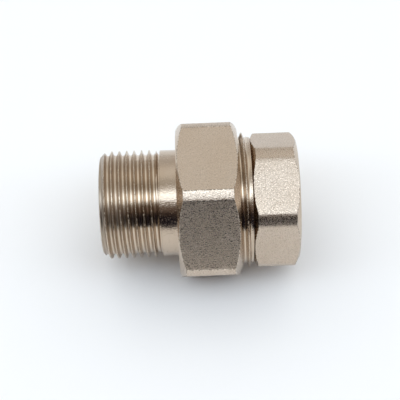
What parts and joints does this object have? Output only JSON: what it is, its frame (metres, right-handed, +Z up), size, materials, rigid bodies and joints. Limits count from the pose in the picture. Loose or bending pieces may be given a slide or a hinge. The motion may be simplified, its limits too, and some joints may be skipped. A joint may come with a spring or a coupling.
{
  "type": "straight pipe union",
  "caption": "Straight pipe union: a male threaded tail and a hexagon female body, drawn together on a flat gasket by a large hexagon nut.",
  "frame": {"origin": "on the union's axis, at half its overall length", "axes": "+X along the axis, from the male tail's end towards the female body's mouth; +Z up, at right angles to the nut flat that the union lies on"},
  "size_m": [0.06, 0.0514, 0.046],
  "materials": {
    "tail_nickel": "nickel plated over a turned surface",
    "nut_nickel": "nickel plated, blasted flats and turned ends",
    "body_nickel": "nickel plated, blasted flats and turned ends",
    "gasket_rubber": "matt moulded rubber"
  },
  "bodies": {
    "body": {"female_body": "body_nickel"},
    "seal": {"flat_gasket": "gasket_rubber"},
    "nut": {"union_nut": "nut_nickel"},
    "tail": {"male_tail": "tail_nickel"}
  },
  "joints": [
    {"name": "seal_travel", "type": "slide", "parent": "body", "child": "seal", "axis": [-1, 0, 0], "range_m": [0, 0.00924]},
    {"name": "nut_turn", "type": "hinge", "parent": "seal", "child": "nut", "pos_m": [0.0027, 0, 0], "axis": [-1, 0, 0], "range_deg": [0, 1440]},
    {"name": "tail_swivel", "type": "hinge", "parent": "seal", "child": "tail", "pos_m": [-0.001, 0, 0], "axis": [-1, 0, 0], "continuous": true}
  ],
  "couplings": [
    {"joint": "seal_travel", "follows": "nut_turn", "m_per_rad": 0.00036748}
  ]
}
